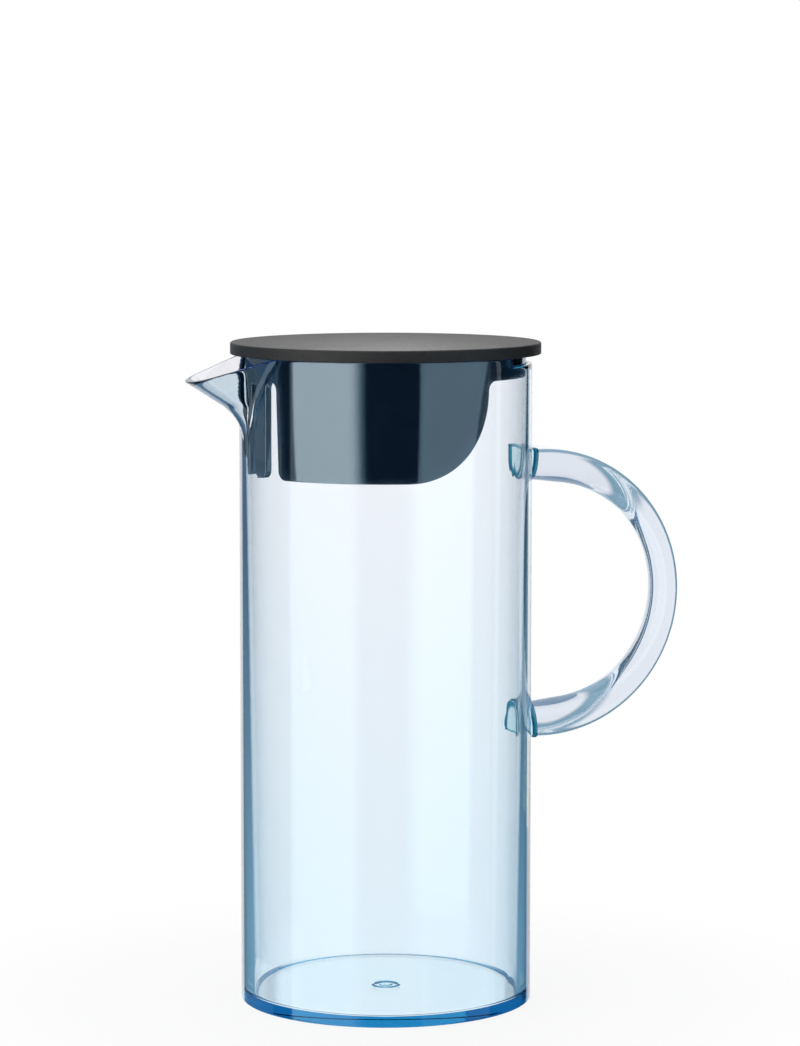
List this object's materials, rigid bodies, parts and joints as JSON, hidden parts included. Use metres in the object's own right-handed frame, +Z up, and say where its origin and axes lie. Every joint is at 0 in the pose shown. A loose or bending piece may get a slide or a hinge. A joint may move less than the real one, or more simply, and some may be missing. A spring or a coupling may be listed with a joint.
{
  "type": "water jug",
  "caption": "Clear cylindrical water jug with a pointed spout, a bonded half-ring handle and a lift-off lid whose turning skirt strains, closes or frees the spout.",
  "frame": {"origin": "centre of the flat underside of the jug", "axes": "+Z up along the jug's axis, +X towards the handle, -X towards the spout"},
  "size_m": [0.1748, 0.106, 0.2265],
  "materials": {
    "clear_blue_plastic": "clear polished plastic with a pale blue tint",
    "bond_line": "clear teal cement line",
    "textured_black_plastic": "black plastic with a fine spark-eroded texture",
    "gloss_black_plastic": "smooth black plastic"
  },
  "bodies": {
    "jug": {"jug_body": "clear_blue_plastic", "handle": "clear_blue_plastic", "upper_handle_bond": "bond_line", "lower_handle_bond": "bond_line"},
    "lid": {"lid_cover": "textured_black_plastic"},
    "strainer": {"lid_skirt": "gloss_black_plastic"}
  },
  "joints": [
    {"name": "lid_lift", "type": "slide", "parent": "jug", "child": "lid", "axis": [0, 0, 1], "range_m": [0, 0.06]},
    {"name": "lid_turn", "type": "hinge", "parent": "lid", "child": "strainer", "pos_m": [0, 0, 0.2222], "axis": [0, 0, 1], "continuous": true}
  ]
}
